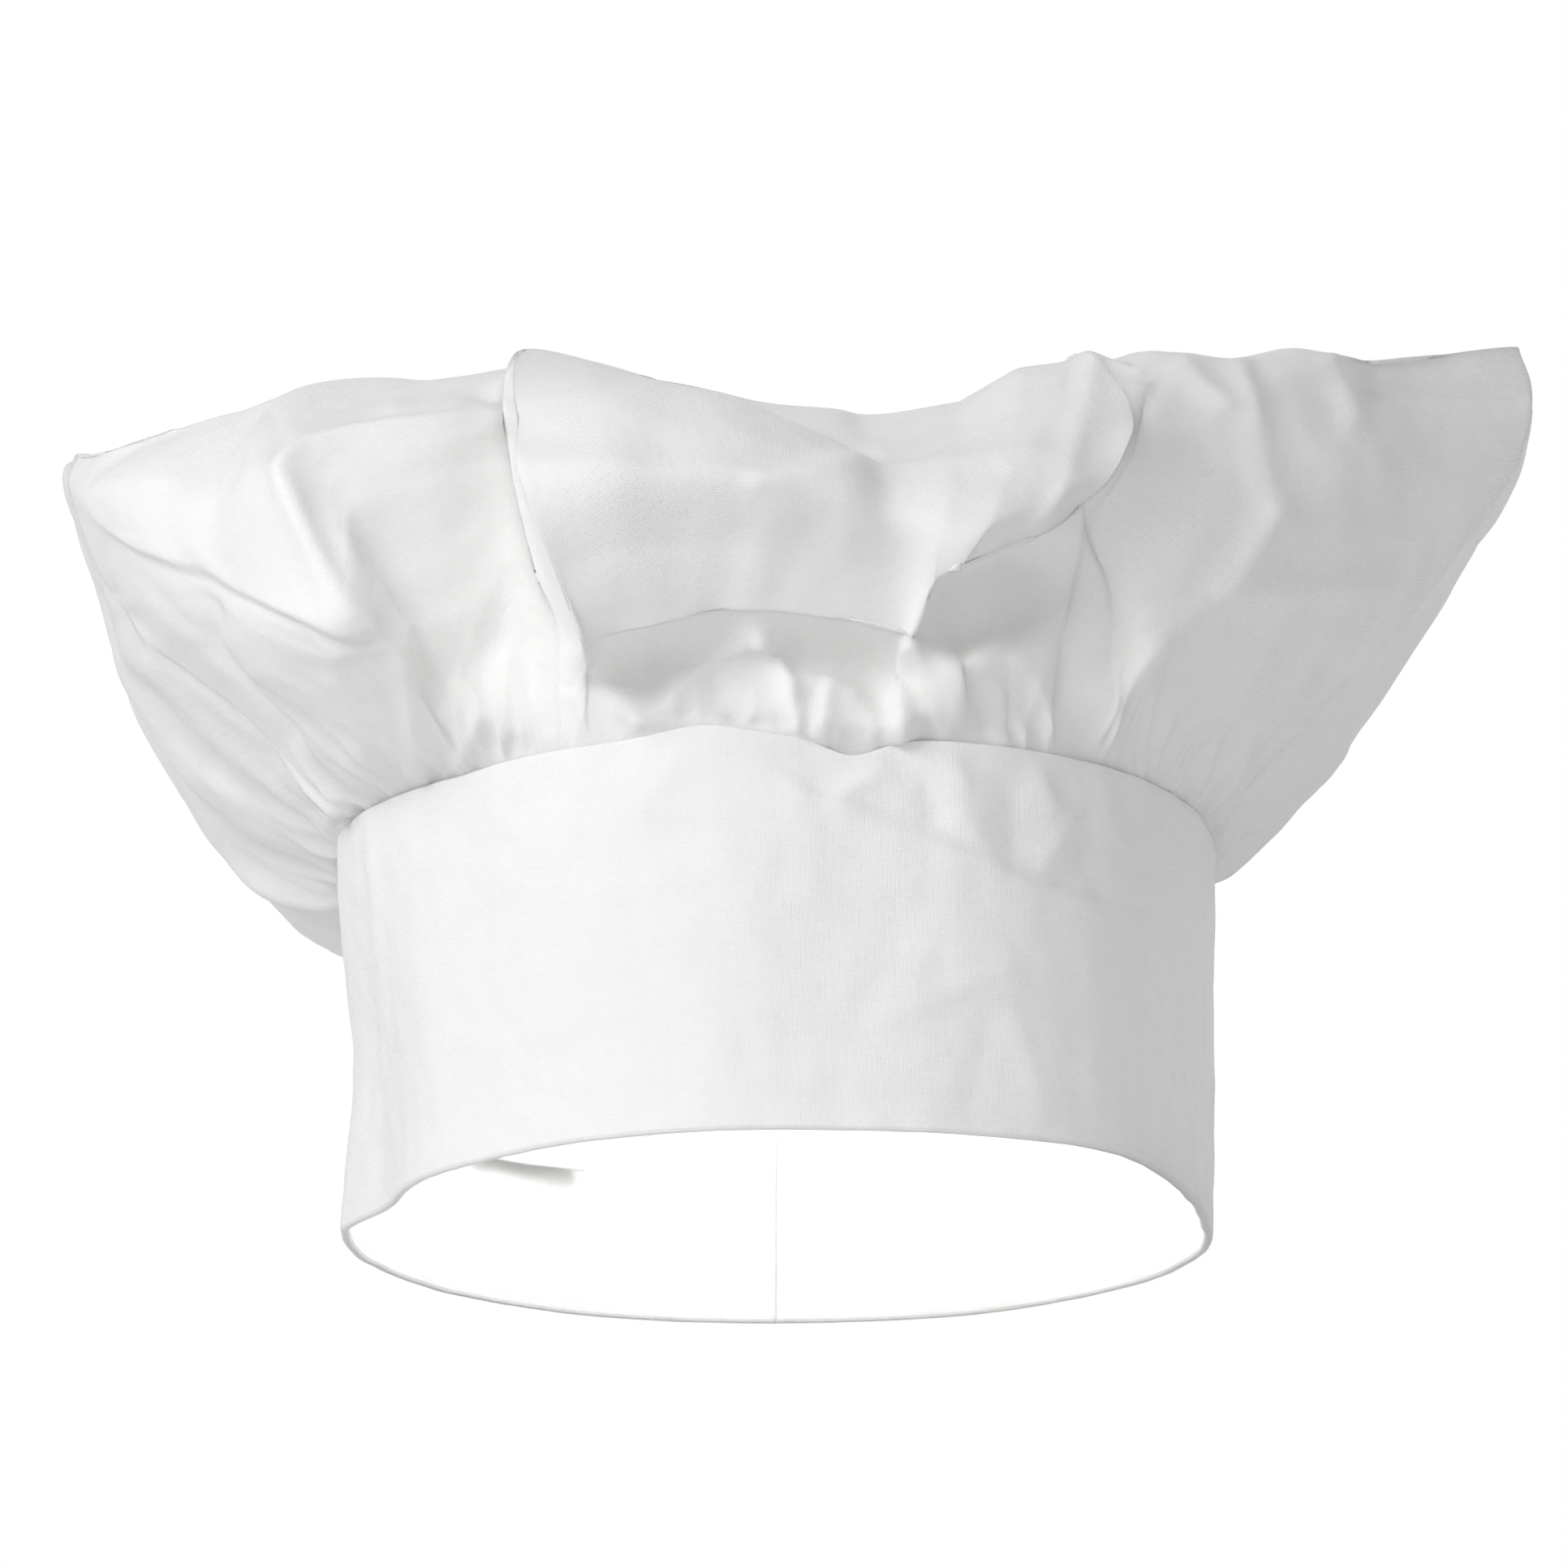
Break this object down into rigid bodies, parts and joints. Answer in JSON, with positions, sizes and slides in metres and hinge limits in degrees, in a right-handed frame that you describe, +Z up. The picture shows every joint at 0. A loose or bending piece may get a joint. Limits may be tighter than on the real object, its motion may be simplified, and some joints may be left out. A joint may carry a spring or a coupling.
{
  "type": "chef toque",
  "caption": "Soft white chef toque: a stiffened oval band with a full gathered crown slumped over it, and a back closure tab that peels open.",
  "frame": {"origin": "middle of the band's oval at the height of the bottom rim it stands on, which is also the bottom centre of the whole hat's box", "axes": "+Z up through the crown, -Y towards the wearer's forehead, +X towards the wearer's left ear"},
  "size_m": [0.296, 0.238, 0.1786],
  "materials": {
    "poplin": "matte",
    "stiffener": "matte",
    "tape": "matte",
    "satin": "satin",
    "thread": "satin"
  },
  "bodies": {
    "band": {"band_cloth": "poplin", "band_interfacing": "stiffener", "crown_side": "poplin", "thread_crown_seam": "thread", "thread_gather": "thread", "thread_facing_edge": "thread", "loop_tape": "tape", "thread_loop_tape": "thread"},
    "crown": {"crown_top": "poplin"},
    "closure_tab": {"tab_outer": "poplin", "tab_interfacing": "stiffener", "tab_facing": "poplin", "hook_tape": "tape", "thread_tab_edge": "thread"},
    "label": {"care_label": "satin", "thread_label": "thread"}
  },
  "joints": [
    {"name": "crown_collapse", "type": "slide", "parent": "band", "child": "crown", "axis": [0, 0, -1], "range_m": [0, 0.05], "deforming": ["crown_side"]},
    {"name": "closure_peel", "type": "hinge", "parent": "band", "child": "closure_tab", "pos_m": [-0.021, 0.1035, 0.039], "axis": [0, 0, 1], "range_deg": [0, 80]},
    {"name": "label_flip", "type": "hinge", "parent": "band", "child": "label", "pos_m": [-0.05035, 0.07656, 0.07], "axis": [-0.7394, -0.6733, 0], "range_deg": [0, 70]}
  ]
}
